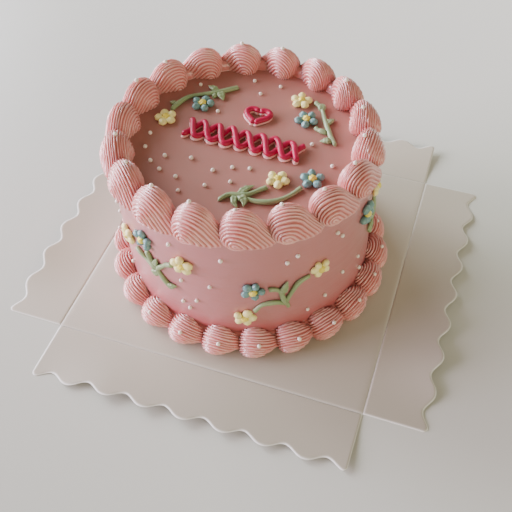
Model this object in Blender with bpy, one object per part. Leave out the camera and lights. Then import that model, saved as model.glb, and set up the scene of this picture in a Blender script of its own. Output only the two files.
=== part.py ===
"""A small round celebration cake with piped borders, sugar pearls and icing flowers,
standing on the unfolded card liner of its box. Metres, +Z up, the origin at the
middle of the card's underside, the front of the cake towards -Y."""

import math

import bmesh
import bpy
import numpy as np

MM = 0.001

# Card liner: a square with one creased flap on each side
CARD_SIDE = 140 * MM
CARD_THICK = 0.5 * MM
FLAP_LENGTH = 26.8 * MM
CREASE_GAP = 0.3 * MM
NOTCHES = 8
NOTCH_DEPTH = 3.6 * MM
NOTCH_SHARPNESS = 1.15
STEPS_PER_NOTCH = 6

# Cake: a straight-sided cylinder, a little out of round and leaning a little
CAKE_RADIUS = 56 * MM
CAKE_TOP = 67.5 * MM
CAKE_CENTRE_X = -3.6 * MM
CAKE_CENTRE_Y = 1.0 * MM
CAKE_LEAN = -1.6 * MM
CAKE_OUT_OF_ROUND = 0.3 * MM
CAKE_SEGMENTS = 56

# Gap that touching pieces keep
GAP = 0.3 * MM

# Top border: a ring of piped shells on the cake's edge. Stations are distances from a crest.
TOP_SHELLS = 18
TOP_FIRST_ANGLE = 8.5
TOP_RING_OFFSET = -3.8 * MM
TOP_SHELL_HEAD = 8.8 * MM
TOP_SHELL_TAIL = 14.0 * MM
TOP_SHELL_HALF_WIDTH = 8.9 * MM
TOP_SHELL_MIDDLE = 3.2 * MM
TOP_SHELL_RISE = 9.2 * MM
TOP_SHELL_LIP = 3.6 * MM
TOP_SHELL_FOOT = 0.92
TOP_SHELL_YAW = 0.14
TOP_SHELL_GROOVE = 1.1 * MM
TOP_SHELL_RIDGES = 6
TOP_STATIONS = [-7.6 * MM, -5.2 * MM, -0.8 * MM, 4.6 * MM, 8.6 * MM]

# Bottom border: smaller shells in the corner between the side and the card
BOTTOM_SHELLS = 23
BOTTOM_FIRST_ANGLE = 198.0
BOTTOM_SHELL_HEAD = 7.6 * MM
BOTTOM_SHELL_TAIL = 11.5 * MM
BOTTOM_SHELL_OUT = 9.2 * MM
BOTTOM_SHELL_UP = 10.0 * MM
BOTTOM_SHELL_BULGE = 1.2 * MM
BOTTOM_SHELL_GROOVE = 0.9 * MM
BOTTOM_SHELL_RIDGES = 5
BOTTOM_STATIONS = [-6.6 * MM, -4.4 * MM, -0.2 * MM, 5.0 * MM]

# How uneven hand piping is: a share of a shell's size
UNEVEN_SIZE = 0.04

# Sugar pearls, and the few shells that have none. Leans are degrees outwards from upright on
# the top border, and up from the card on the bottom one.
PEARL_RADIUS = 1.0 * MM
PEARL_LIFT = 0.45 * MM
PEARL_SEAT = 0.5
PEARL_LEAN_SPREAD = 22
PEARL_TURN_SPREAD = 1.7
TOP_PEARL_LEAN = 14
BOTTOM_PEARL_LEAN = 42
TOP_BARE_SHELLS = [3, 6, 9]
BOTTOM_BARE_SHELLS = [1, 2, 13, 15, 17, 19, 21]

# Icing flowers, stems, leaves and lines
YELLOW_FLOWER = 9.6 * MM
BLUE_FLOWER = 10.6 * MM
FLOWER_HEIGHT = 2.9 * MM
PETALS = 5
PETAL_UNEVEN = 0.05
VALLEY_RADIUS = 0.74
VALLEY_HEIGHT = 0.6
PETAL_RINGS = [(0.90, 0.0), (1.00, 0.45), (0.68, 1.0)]
KNOB_RADIUS = 0.30
KNOB_FOOT = 0.5
STEM_WIDTH = 2.1 * MM
STEM_HEIGHT = 1.5 * MM
STEM_STEP = 7.0 * MM
STEM_END_WIDTH = 0.6
STEM_END_HEIGHT = 0.7
LEAF_WIDTH = 3.4 * MM
LEAF_HEIGHT = 1.5 * MM
LEAF_STATIONS = [0.0, 0.5, 1.0]
LEAF_WIDTHS = [0.5, 1.0, 0.2]
LEAF_HEIGHTS = [0.7, 1.15, 0.35]
LINE_WIDTH = 2.4 * MM
LINE_HEIGHT = 2.0 * MM
LINE_SHOULDER = 0.62

# Braided ornament and heart on the top, in the cake's plane from its centre
BRAID_LENGTH = 52 * MM
BRAID_SWING = 4.7 * MM
BRAID_WAVES = 4
BRAID_STEPS_PER_WAVE = 8
BRAID_TURN = -1.5
HEART_MIDDLE = (0.8, 16.6)
HEART_SIZE = 5.2 * MM
HEART_STEPS = 10
HEART_FIRST_ANGLE = 0.35
HEART_LAST_ANGLE = math.pi - 0.3

# Sprays on the top: flower places, stems and leaves as points in mm from the cake's centre
TOP_SPRAYS = [
    {
        "flowers": [("yellow", -36.8, 3.6), ("blue", -25.0, 17.2)],
        "stems": [
            [(-13.6, 33.0), (-21.0, 27.4), (-32.8, 19.8), (-36.6, 9.4)],
            [(-22.6, 22.8), (-21.5, 25.6)],
        ],
        "leaves": [
            [(-21.6, 27.4), (-27.4, 30.2)],
            [(-20.6, 27.2), (-17.2, 22.4)],
            [(-35.8, 13.4), (-39.6, 14.6)],
        ],
    },
    {
        "flowers": [("yellow", 16.0, 32.2), ("blue", 21.5, 20.8)],
        "stems": [
            [(21.4, 33.6), (26.4, 29.4), (31.2, 18.6), (37.8, 9.3)],
            [(26.4, 17.6), (29.0, 15.8), (32.4, 15.6)],
        ],
        "leaves": [
            [(26.2, 29.0), (25.0, 33.4)],
            [(30.4, 21.0), (33.0, 25.2)],
            [(35.2, 11.2), (30.6, 9.6)],
        ],
    },
    {
        "flowers": [("yellow", 20.9, -17.6), ("blue", 34.0, -13.2)],
        "stems": [
            [(1.7, -35.0), (5.2, -31.4), (10.6, -29.6), (18.4, -22.6)],
            [(9.6, -30.6), (17.5, -31.4), (24.4, -28.2), (31.4, -18.6)],
        ],
        "leaves": [
            [(9.4, -30.0), (11.8, -23.4)],
            [(8.8, -30.4), (11.4, -36.6)],
        ],
    },
]

# Sprays on the side: an angle in degrees, then points in mm along the side and up from the card
SIDE_SPRAYS = [
    {
        "angle": -112.0,
        "flowers": [("yellow", -18.2, 43.2), ("blue", -4.6, 52.4), ("yellow", 14.8, 49.2)],
        "stems": [
            [(-4.0, 45.8), (-1.0, 39.6), (3.0, 33.6), (7.0, 29.4)],
            [(-12.2, 40.8), (-7.2, 40.0), (0.2, 36.8)],
            [(1.0, 37.6), (5.4, 43.6), (10.2, 46.4)],
        ],
        "leaves": [
            [(-0.4, 38.8), (1.4, 44.6)],
            [(1.4, 36.0), (-4.0, 32.4)],
            [(5.2, 30.2), (10.0, 32.4)],
        ],
    },
    {
        "angle": -55.0,
        "flowers": [("blue", -12.8, 38.4), ("yellow", -16.8, 20.8), ("yellow", 16.2, 42.4)],
        "stems": [
            [(-6.4, 38.8), (-2.6, 37.2), (0.0, 30.0), (1.8, 23.8)],
            [(-13.2, 24.4), (-9.4, 28.4), (-3.6, 29.0), (1.0, 26.8)],
            [(0.8, 28.0), (3.8, 35.0), (7.4, 39.2), (11.6, 40.6)],
        ],
        "leaves": [
            [(-1.2, 34.4), (1.6, 41.4)],
        ],
    },
    {
        "angle": 2.0,
        "flowers": [("blue", -11.0, 52.4), ("yellow", 3.4, 54.6), ("yellow", 16.6, 44.0)],
        "stems": [
            [(3.0, 48.6), (2.0, 42.0), (-0.6, 36.0), (-1.6, 30.0)],
            [(-7.6, 48.2), (-4.0, 42.6), (0.4, 38.4)],
            [(0.6, 37.0), (6.0, 41.4), (12.2, 42.8)],
        ],
        "leaves": [
            [(0.2, 37.6), (-5.6, 35.2)],
            [(-1.0, 33.4), (3.6, 30.4)],
        ],
    },
]
SIDE_REPEATS = [0.0, 172.0]
SIDE_PEARL_STEPS = [1, 3]

# Pearls: on the top in mm from the centre, on the side as degrees and height in mm
TOP_PEARLS = [
    (-8.5, 40), (4, 39.5), (-3, 32), (-31, 30), (-17, 15), (-39.5, -7), (-38, -15.5), (-28, -18),
    (-32.5, -22.5), (-27, -26), (-17, -16), (-19, -28), (-6, -20), (1, -16), (8, -14.5), (-6, -29),
    (3, -24), (-15, -35), (28, 7), (39.5, -3),
]
SIDE_PEARLS = [
    (-102, 59), (-80, 57), (-49, 55.5), (-53.5, 53), (-30, 58), (-27, 54), (-25, 29), (-35, 21),
    (-13, 28), (-44, 17), (-99, 38), (-86, 39), (-93, 27), (-100, 23), (-97, 20), (-138, 17),
    (-141, 57), (-145, 49), (-140, 31), (-150, 38), (-10, 17),
]


def uneven(index, channel):
    """A steady pseudo-random number from -1 to 1 for one shell and one of its sizes."""
    return math.sin(12.9898 * (index + 1) + 78.233 * (channel + 1))


def centre_x(height):
    """The cake's middle at a height: it shifts sideways with the lean."""
    return CAKE_CENTRE_X + CAKE_LEAN * np.asarray(height) / CAKE_TOP


def side_radius(angle):
    """The cake's radius in a direction: a circle with two low waves in it."""
    return CAKE_RADIUS + CAKE_OUT_OF_ROUND * (np.sin(2 * angle + 0.6) + 0.6 * np.sin(3 * angle + 2.0))


def around_cake(offset, height, angle):
    """World points beside the cake at a distance from its side, a height and a direction."""
    radius = side_radius(angle) + offset
    world_x = centre_x(height) + radius * np.cos(angle)
    world_y = CAKE_CENTRE_Y + radius * np.sin(angle)
    return np.stack([world_x, world_y, height + 0 * radius], axis=-1)


def on_top(x, y, lift):
    """World points for places on the top, measured from the cake's middle."""
    world_x = centre_x(CAKE_TOP) + x
    world_y = CAKE_CENTRE_Y + y
    return np.stack([world_x, world_y, CAKE_TOP + lift + 0 * x], axis=-1)


def on_side(degrees):
    """A function that wraps flat places round the side, from a direction and the card's top."""
    def place(along, height, lift):
        return around_cake(lift, height, math.radians(degrees) + along / CAKE_RADIUS)
    return place


def make_material(name, color, roughness):
    """A plain Principled material in the piece's colour."""
    material = bpy.data.materials.new(name)
    material.use_nodes = True
    shader = material.node_tree.nodes["Principled BSDF"]
    shader.inputs["Base Color"].default_value = (*color, 1.0)
    shader.inputs["Roughness"].default_value = roughness
    shader.inputs["Metallic"].default_value = 0.0
    material.diffuse_color = (*color, 1.0)
    return material


PINK_ICING = make_material("pink_icing", (0.62, 0.30, 0.28), 0.5)
SHELL_ICING = make_material("shell_icing", (0.70, 0.36, 0.33), 0.5)
HOT_PINK_ICING = make_material("hot_pink_icing", (0.60, 0.01, 0.10), 0.4)
GREEN_ICING = make_material("green_icing", (0.30, 0.38, 0.19), 0.5)
BLUE_ICING = make_material("blue_icing", (0.16, 0.31, 0.36), 0.5)
YELLOW_ICING = make_material("yellow_icing", (0.76, 0.64, 0.33), 0.5)
WHITE_CARD = make_material("white_card", (0.70, 0.66, 0.63), 0.7)


def new_object(name, points, faces, material):
    """An object from points and faces, with its normals made to point outwards."""
    mesh = bpy.data.meshes.new(name)
    mesh.from_pydata([tuple(point) for point in points], [], [tuple(face) for face in faces])
    work = bmesh.new()
    work.from_mesh(mesh)
    bmesh.ops.recalc_face_normals(work, faces=work.faces[:])
    work.to_mesh(mesh)
    work.free()
    mesh.materials.append(material)
    item = bpy.data.objects.new(name, mesh)
    bpy.context.scene.collection.objects.link(item)
    return item


def keep_main_body(mesh):
    """Drop loose scraps and sealed hollows, and keep the largest closed body."""
    work = bmesh.new()
    work.from_mesh(mesh)
    bmesh.ops.remove_doubles(work, verts=work.verts[:], dist=0.001 * MM)
    left = set(work.verts)
    bodies = []
    while left:
        stack = [left.pop()]
        body = {stack[0]}
        while stack:
            for edge in stack.pop().link_edges:
                for vert in edge.verts:
                    if vert in left:
                        left.discard(vert)
                        body.add(vert)
                        stack.append(vert)
        bodies.append(body)
    main = max(bodies, key=box_volume)
    scraps = [vert for body in bodies if body is not main for vert in body]
    bmesh.ops.delete(work, geom=scraps, context="VERTS")
    work.to_mesh(mesh)
    work.free()


def box_volume(verts):
    """The volume of the box round some vertices."""
    points = np.array([vert.co for vert in verts])
    return float(np.prod(points.max(axis=0) - points.min(axis=0)))


def combine(base, others):
    """One Boolean union of a base object with a collection, applied, the others removed."""
    group = bpy.data.collections.new(base.name + "_others")
    bpy.context.scene.collection.children.link(group)
    for item in others:
        bpy.context.scene.collection.objects.unlink(item)
        group.objects.link(item)
    modifier = base.modifiers.new("union", "BOOLEAN")
    modifier.operation = "UNION"
    modifier.operand_type = "COLLECTION"
    modifier.collection = group
    modifier.solver = "EXACT"
    modifier.use_self = False
    evaluated = base.evaluated_get(bpy.context.evaluated_depsgraph_get())
    joined = bpy.data.meshes.new_from_object(evaluated)
    base.modifiers.clear()
    base.data = joined
    for item in others:
        bpy.data.objects.remove(item)
    bpy.data.collections.remove(group)
    keep_main_body(joined)


def grid_faces(rows, columns):
    """Quads between rows of points whose columns close into a ring."""
    faces = []
    for row in range(rows - 1):
        for column in range(columns):
            beside = (column + 1) % columns
            start = row * columns
            above = start + columns
            faces.append((start + column, start + beside, above + beside, above + column))
    return faces


def pearl(centre):
    """One sugar pearl, an icosahedron of twenty faces."""
    mesh = bpy.data.meshes.new("pearl")
    work = bmesh.new()
    bmesh.ops.create_icosphere(work, subdivisions=1, radius=PEARL_RADIUS)
    work.to_mesh(mesh)
    work.free()
    item = bpy.data.objects.new("pearl", mesh)
    item.location = [float(value) for value in centre]
    bpy.context.scene.collection.objects.link(item)
    return item


def shell_size(along, head, tail, index):
    """A shell's size at a distance from its crest, as a share: an ellipse with a blunt head
    and a long tail, times the shell's own unevenness."""
    reach = head if along < 0 else tail
    return math.sqrt(1 - (along / reach) ** 2) * (1 + UNEVEN_SIZE * uneven(index, 0))


def top_section(along, index, lean, groove):
    """The top border's ridged back at angles out from upright: distances from the cake's side,
    and heights. A shell starts inwards and runs outwards to its tail."""
    size = shell_size(along, TOP_SHELL_HEAD, TOP_SHELL_TAIL, index)
    dent = groove * TOP_SHELL_GROOVE
    middle = CAKE_TOP + TOP_SHELL_MIDDLE * size
    offset = TOP_RING_OFFSET + TOP_SHELL_YAW * along
    offset = offset + (TOP_SHELL_HALF_WIDTH * size - dent) * np.sin(lean)
    return offset, middle + (TOP_SHELL_RISE * size - dent) * np.cos(lean)


def top_outline(along, index):
    """The closed outline of the top border at one station: over the ridges from its inner foot
    to the lip outside the cake's edge, then back under it."""
    steps = 2 * TOP_SHELL_RIDGES
    lean = np.linspace(-math.pi / 2, math.pi / 2, steps + 1)[1:-1]
    groove = np.arange(1, steps) % 2 == 0
    offset, height = top_section(along, index, lean, groove)
    offset[-1] = max(offset[-1], 2 * GAP)
    size = shell_size(along, TOP_SHELL_HEAD, TOP_SHELL_TAIL, index)
    foot = TOP_RING_OFFSET + TOP_SHELL_YAW * along - TOP_SHELL_FOOT * TOP_SHELL_HALF_WIDTH * size
    under = [GAP, GAP, foot]
    under_height = [CAKE_TOP - TOP_SHELL_LIP * size, CAKE_TOP + GAP, CAKE_TOP + GAP]
    return np.append(offset, under), np.append(height, under_height)


def bottom_section(along, index, lean, groove):
    """The bottom border's ridged back at angles up from the card, about the corner between the
    side and the card: distances from the cake's side, and heights."""
    size = shell_size(along, BOTTOM_SHELL_HEAD, BOTTOM_SHELL_TAIL, index)
    reach = BOTTOM_SHELL_OUT * np.cos(lean) ** 2 + BOTTOM_SHELL_UP * np.sin(lean) ** 2
    reach = size * (reach + BOTTOM_SHELL_BULGE * np.sin(2 * lean)) - groove * BOTTOM_SHELL_GROOVE
    return GAP + reach * np.cos(lean), CARD_THICK + GAP + reach * np.sin(lean)


def bottom_outline(along, index):
    """The closed outline of the bottom border at one station."""
    steps = 2 * BOTTOM_SHELL_RIDGES
    lean = np.linspace(math.pi / 2, 0, steps + 1)
    groove = np.arange(steps + 1) % 2 == 0
    offset, height = bottom_section(along, index, lean, groove)
    return np.append(offset, GAP), np.append(height, CARD_THICK + GAP)


def border(name, crests, stations, outline):
    """A ring of piped shells as one body. Ridges run along the ring, and each shell's blunt
    head stands over the tail before it."""
    rings = []
    for index, crest in enumerate(crests):
        for along in stations:
            offset, height = outline(along, index)
            rings.append(around_cake(offset, height, crest + along / CAKE_RADIUS))
    rows = len(rings)
    columns = len(rings[0])
    faces = grid_faces(rows + 1, columns)
    faces = [[corner % (rows * columns) for corner in face] for face in faces]
    return new_object(name, np.concatenate(rings), faces, SHELL_ICING)


def shell_pearls(crests, section, middle_lean, bare):
    """A pearl on each shell that isn't bare, near its crest and a little sunk in its ridges."""
    pearls = []
    for index, crest in enumerate(crests):
        if index in bare:
            continue
        lean = math.radians(middle_lean + PEARL_LEAN_SPREAD * uneven(index, 3))
        offset, height = section(0.0, index, lean, PEARL_SEAT)
        turn = math.radians(PEARL_TURN_SPREAD) * uneven(index, 4)
        pearls.append(pearl(around_cake(offset, height, crest + turn)))
    return pearls


def top_border():
    """The border on the cake's edge, with its pearls."""
    crests = np.radians(TOP_FIRST_ANGLE + np.arange(TOP_SHELLS) * 360 / TOP_SHELLS)
    ring = border("top_border", crests, TOP_STATIONS, top_outline)
    combine(ring, shell_pearls(crests, top_section, TOP_PEARL_LEAN, TOP_BARE_SHELLS))


def bottom_border():
    """The border round the cake's foot, with its pearls."""
    crests = np.radians(BOTTOM_FIRST_ANGLE + np.arange(BOTTOM_SHELLS) * 360 / BOTTOM_SHELLS)
    ring = border("bottom_border", crests, BOTTOM_STATIONS, bottom_outline)
    pearls = shell_pearls(crests, bottom_section, BOTTOM_PEARL_LEAN, BOTTOM_BARE_SHELLS)
    combine(ring, pearls)


def smooth_path(points, step):
    """A curve through points: each stretch is a cubic with slopes from its neighbours."""
    points = np.array(points, dtype=float)
    padded = np.concatenate([2 * points[:1] - points[1:2], points, 2 * points[-1:] - points[-2:-1]])
    path = []
    for index in range(len(points) - 1):
        before, start, end, after = padded[index:index + 4]
        count = max(1, round(float(np.linalg.norm(end - start)) / step))
        share = np.linspace(0, 1, count, endpoint=False)[:, None]
        blend = 3 * share ** 2 - 2 * share ** 3
        slope_in = (end - before) / 2 * share * (1 - share) ** 2
        slope_out = (after - start) / 2 * share ** 2 * (share - 1)
        path.append(start + (end - start) * blend + slope_in + slope_out)
    return np.concatenate(path + [points[-1:]])


def piped_line(path, half_width, height, place, material):
    """A line of icing with a flat base and a round back, along a path on a surface."""
    half_width = np.broadcast_to(half_width, len(path))[:, None]
    height = np.broadcast_to(height, len(path))[:, None]
    run = np.gradient(path, axis=0)
    run = run / np.linalg.norm(run, axis=1)[:, None]
    aside = np.stack([-run[:, 1], run[:, 0]], axis=-1)
    section = np.array([(-1.0, 0.0), (-LINE_SHOULDER, 1.0), (LINE_SHOULDER, 1.0), (1.0, 0.0)])
    flat = path[:, None, :] + aside[:, None, :] * (section[:, 0] * half_width)[:, :, None]
    lift = GAP + section[:, 1] * height
    points = place(flat[..., 0], flat[..., 1], lift).reshape(-1, 3)
    columns = len(section)
    faces = grid_faces(len(path), columns)
    last = (len(path) - 1) * columns
    faces.append(range(columns))
    faces.append(range(last, last + columns))
    return new_object("line", points, faces, material)


def stem(points, place):
    """A green stem with narrower, lower ends."""
    path = smooth_path(np.array(points) * MM, STEM_STEP)
    half_width = np.full(len(path), STEM_WIDTH / 2)
    half_width[[0, -1]] *= STEM_END_WIDTH
    height = np.full(len(path), STEM_HEIGHT)
    height[[0, -1]] *= STEM_END_HEIGHT
    return piped_line(path, half_width, height, place, GREEN_ICING)


def leaf(ends, place):
    """A small leaf, a dab of icing that is wide in the middle and pointed at its tip."""
    base, tip = np.array(ends) * MM
    path = base + (tip - base) * np.array(LEAF_STATIONS)[:, None]
    half_width = LEAF_WIDTH / 2 * np.array(LEAF_WIDTHS)
    height = LEAF_HEIGHT * np.array(LEAF_HEIGHTS)
    return piped_line(path, half_width, height, place, GREEN_ICING)


def spray(name, layout, place):
    """Stems and leaves of one spray, joined into one body."""
    parts = [stem(points, place) for points in layout["stems"]]
    parts += [leaf(points, place) for points in layout["leaves"]]
    parts[0].name = name
    combine(parts[0], parts[1:])
    return parts[0]


def flower(name, colour, x, y, place, index):
    """A flower of round petals about a small middle knob, as one lobed mound."""
    across = YELLOW_FLOWER if colour == "yellow" else BLUE_FLOWER
    columns = 3 * PETALS
    angle = np.linspace(0, 2 * math.pi, columns, endpoint=False) + 0.4 * index
    valley = np.arange(columns) % 3 == 0
    lobe = np.where(valley, VALLEY_RADIUS, 1.0) * (1 + PETAL_UNEVEN * np.sin(2 * angle + index))
    crest = np.where(valley, VALLEY_HEIGHT, 1.0)
    radius = [share * lobe for share, rise in PETAL_RINGS] + [KNOB_RADIUS + 0 * lobe]
    lift = [rise * crest for share, rise in PETAL_RINGS] + [KNOB_FOOT + 0 * crest]
    radius = np.array(radius) * across / 2
    rows = len(radius)
    flat_x = x * MM + np.append(radius * np.cos(angle), 0)
    flat_y = y * MM + np.append(radius * np.sin(angle), 0)
    lift = GAP + FLOWER_HEIGHT * np.append(lift, 1)
    faces = grid_faces(rows, columns)
    faces.append(range(columns))
    inner = (rows - 1) * columns
    for column in range(columns):
        faces.append((rows * columns, inner + column, inner + (column + 1) % columns))
    material = YELLOW_ICING if colour == "yellow" else BLUE_ICING
    return new_object(name, place(flat_x, flat_y, lift), faces, material)


def braid():
    """Two waving lines that cross, as one body: the ornament across the top."""
    share = np.linspace(0, 1, BRAID_WAVES * BRAID_STEPS_PER_WAVE + 1)
    angle = math.radians(BRAID_TURN)
    strands = []
    for side in (1, -1):
        along = (share - 0.5) * BRAID_LENGTH
        swing = side * BRAID_SWING * np.cos(2 * math.pi * BRAID_WAVES * share)
        x = along * math.cos(angle) - swing * math.sin(angle)
        y = along * math.sin(angle) + swing * math.cos(angle)
        path = np.stack([x, y], axis=-1)
        strands.append(piped_line(path, LINE_WIDTH / 2, LINE_HEIGHT, on_top, HOT_PINK_ICING))
    strands[0].name = "braid"
    combine(strands[0], strands[1:])
    return strands[0]


def heart():
    """A heart outline of two piped strokes, which meet above and below: the well-known curve of
    a cubed sine against four cosines, which is 16 wide each way from its middle."""
    angle = np.linspace(HEART_FIRST_ANGLE, HEART_LAST_ANGLE, HEART_STEPS)
    y = 13 * np.cos(angle) - 5 * np.cos(2 * angle) - 2 * np.cos(3 * angle) - np.cos(4 * angle)
    strokes = []
    for side in (1, -1):
        x = side * 16 * np.sin(angle) ** 3
        path = np.stack([x, y], axis=-1) / 16 * HEART_SIZE + np.array(HEART_MIDDLE) * MM
        strokes.append(piped_line(path, LINE_WIDTH / 2, LINE_HEIGHT, on_top, HOT_PINK_ICING))
    strokes[0].name = "heart"
    combine(strokes[0], strokes[1:])
    return strokes[0]


def slab(name, outline, low, high):
    """A flat piece of card with an outline in X and Y, between two heights."""
    count = len(outline)
    points = [(x, y, low) for x, y in outline] + [(x, y, high) for x, y in outline]
    faces = [range(count), range(count, 2 * count)]
    for corner in range(count):
        beside = (corner + 1) % count
        faces.append((corner, beside, beside + count, corner + count))
    return new_object(name, points, faces, WHITE_CARD)


def card_base():
    """The square middle of the card."""
    half = CARD_SIDE / 2
    corners = [(-half, -half), (half, -half), (half, half), (-half, half)]
    slab("card_base", corners, 0.0, CARD_THICK)


def flap(name, degrees):
    """A card flap, straight by its crease and scalloped at its free edge. Its origin is on the
    crease, at the card's upper face."""
    share = np.linspace(0, 1, NOTCHES * STEPS_PER_NOTCH + 1)
    dip = (0.5 - 0.5 * np.cos(2 * math.pi * NOTCHES * share)) ** NOTCH_SHARPNESS
    edge = zip(FLAP_LENGTH - NOTCH_DEPTH * dip, (share - 0.5) * CARD_SIDE)
    near = CREASE_GAP / 2
    outline = [(near, CARD_SIDE / 2), (near, -CARD_SIDE / 2), *edge]
    item = slab(name, outline, -CARD_THICK, 0.0)
    angle = math.radians(degrees)
    crease = CARD_SIDE / 2 + CREASE_GAP / 2
    item.location = (crease * math.cos(angle), crease * math.sin(angle), CARD_THICK)
    item.rotation_euler = (0, 0, angle)


def cake_body():
    """The iced cake with the pearls that lie on its top and side."""
    angle = np.linspace(0, 2 * math.pi, CAKE_SEGMENTS, endpoint=False)
    rings = [around_cake(0.0, height, angle) for height in (CARD_THICK + GAP, CAKE_TOP)]
    faces = grid_faces(2, CAKE_SEGMENTS)
    faces.append(range(CAKE_SEGMENTS))
    faces.append(range(CAKE_SEGMENTS, 2 * CAKE_SEGMENTS))
    body = new_object("cake_body", np.concatenate(rings), faces, PINK_ICING)
    pearls = [pearl(on_top(x * MM, y * MM, PEARL_LIFT)) for x, y in TOP_PEARLS]
    for repeat, step in zip(SIDE_REPEATS, SIDE_PEARL_STEPS):
        for degrees, height in SIDE_PEARLS[::step]:
            pearls.append(pearl(on_side(degrees + repeat)(0.0, height * MM, PEARL_LIFT)))
    combine(body, pearls)


def sprays_and_flowers():
    """All sprays on the top, then the same three sprays twice round the side."""
    flower_count = 0
    for number, layout in enumerate(TOP_SPRAYS, start=1):
        spray("top_spray_%d" % number, layout, on_top)
        for colour, x, y in layout["flowers"]:
            flower_count += 1
            flower("top_flower_%d" % flower_count, colour, x, y, on_top, flower_count)
    number = 0
    side_count = 0
    for repeat in SIDE_REPEATS:
        for layout in SIDE_SPRAYS:
            number += 1
            place = on_side(layout["angle"] + repeat)
            spray("side_spray_%d" % number, layout, place)
            for colour, along, height in layout["flowers"]:
                side_count += 1
                flower("side_flower_%d" % side_count, colour, along, height, place, side_count)


for old in list(bpy.data.objects):
    bpy.data.objects.remove(old)

card_base()
flap("card_flap_right", 0)
flap("card_flap_back", 90)
flap("card_flap_left", 180)
flap("card_flap_front", 270)
cake_body()
top_border()
bottom_border()
sprays_and_flowers()
braid()
heart()
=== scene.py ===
import math

import bpy
import numpy as np
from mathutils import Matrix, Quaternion, Vector


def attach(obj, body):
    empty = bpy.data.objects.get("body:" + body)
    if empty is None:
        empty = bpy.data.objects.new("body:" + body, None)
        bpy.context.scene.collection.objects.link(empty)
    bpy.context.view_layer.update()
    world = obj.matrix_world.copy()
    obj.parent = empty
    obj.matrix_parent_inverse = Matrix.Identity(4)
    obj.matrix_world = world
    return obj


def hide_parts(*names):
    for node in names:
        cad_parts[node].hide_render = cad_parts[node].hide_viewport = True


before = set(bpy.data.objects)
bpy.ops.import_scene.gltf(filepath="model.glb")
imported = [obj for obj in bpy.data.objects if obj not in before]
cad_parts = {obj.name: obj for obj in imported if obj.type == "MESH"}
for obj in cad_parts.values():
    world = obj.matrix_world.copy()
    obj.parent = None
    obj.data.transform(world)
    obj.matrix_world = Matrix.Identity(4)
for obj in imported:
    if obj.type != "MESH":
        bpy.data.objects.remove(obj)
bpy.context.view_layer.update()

MM = 0.001


# The place: a pale table top by a window. The window is a wide soft light on the left, and
# the room fills the shadows with warmer light. The camera looks down from the front right.
CAMERA_PLACE = Vector((0.0769, -0.21284, 0.27377))
CAMERA_TARGET = Vector((0.00115, -0.00414, 0.0))
CAMERA_ROLL = math.radians(-1.414)
FOCAL_LENGTH = 50.93
SENSOR_WIDTH = 36.0

# Each light has a name, a place, a width and a height in metres, watts and a colour.
LIGHTS = [
    ("window", (-2.32, 0.56, 1.03), (3.2, 1.4), 158.0, (0.88, 0.92, 1.0)),
    ("bright_pane", (-2.26, 0.55, 0.92), (0.8, 0.7), 36.0, (0.90, 0.93, 1.0)),
    ("side_window", (-2.60, -1.15, 0.64), (1.9, 1.0), 170.0, (0.95, 0.79, 1.0)),
    ("near_wall", (1.8, -1.5, 0.66), (2.4, 1.3), 36.0, (1.0, 0.92, 0.64)),
    ("far_wall", (1.3, 2.1, 0.70), (2.8, 1.2), 10.0, (1.0, 0.93, 0.82)),
]
ROOM_COLOUR = (1.0, 0.90, 0.68, 1.0)
ROOM_STRENGTH = 0.32

TABLE_HALF_WIDTH = 2.5
TABLE_CORNERS = ((-1, -1), (1, -1), (1, 1), (-1, 1))
# The table's colour is painted light and shade: darker near the camera and lighter towards the far
# right, a painted fall-off of the lamps' light.
TABLE_NEAR_PAINTED_SHADE = (0.43, 0.43, 0.38)
TABLE_FAR_PAINTED_LIGHT = (0.96, 0.97, 0.91)
TABLE_PAINTED_LIGHT_TOWARDS = (0.5, 0.87, 0.0)
TABLE_PAINTED_LIGHT_FADE = (-0.30, 0.42)
TABLE_ROUGHNESS = 0.34


class Link:
    """A shader socket. Operators between links and numbers add Math nodes to its tree."""

    def __init__(self, tree, socket=None):
        self.tree = tree
        self.socket = socket

    def node(self, kind, settings=None, inputs=None, output=0):
        """Adds any node: its settings first, then the values or links of its inputs. Returns
        the link of one of its outputs, which are counted from 0."""
        made = self.tree.nodes.new("ShaderNode" + kind)
        for name, value in (settings or {}).items():
            setattr(made, name, value)
        for key, value in (inputs or {}).items():
            if isinstance(value, Link):
                self.tree.links.new(value.socket, made.inputs[key])
            else:
                made.inputs[key].default_value = value
        return Link(self.tree, made.outputs[output])

    def maths(self, operation, first, second):
        """A Math node on two links or numbers."""
        return self.node("Math", {"operation": operation}, {0: first, 1: second})

    def __add__(self, other):
        return self.maths("ADD", self, other)

    def __sub__(self, other):
        return self.maths("SUBTRACT", self, other)

    def __rsub__(self, other):
        return self.maths("SUBTRACT", other, self)

    def __mul__(self, other):
        return self.maths("MULTIPLY", self, other)

    __radd__ = __add__
    __rmul__ = __mul__

    def mix(self, first, second):
        """Blends two colours, with this link as the share of the second. The colours are the
        node's inputs 6 and 7, and their blend is its output 2."""
        first = first if isinstance(first, Link) else (*first, 1.0)
        second = second if isinstance(second, Link) else (*second, 1.0)
        settings = {"data_type": "RGBA"}
        return self.node("Mix", settings, {"Factor": self, 6: first, 7: second}, output=2)


def new_material(name, constants):
    """A Principled material with its even values set on its own sockets. Returns it, its
    shader's inputs and a link to start expressions from."""
    material = bpy.data.materials.new(name)
    material.use_nodes = True
    shader = material.node_tree.nodes["Principled BSDF"]
    for key, value in constants.items():
        shader.inputs[key].default_value = value
    return material, shader.inputs, Link(material.node_tree)


def object_place(start):
    """The place on the object, which is the fourth output of its node."""
    return start.node("TexCoord", output=3)


def noise(start, scale, detail, stretch=(1.0, 1.0, 1.0)):
    """Noise on the object's place, about 1 / scale metres to a blotch, stretched by an axis."""
    place = object_place(start)
    place = place.node("Mapping", None, {"Vector": place, "Scale": stretch})
    return place.node("TexNoise", None, {"Vector": place, "Scale": scale, "Detail": detail})


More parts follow.
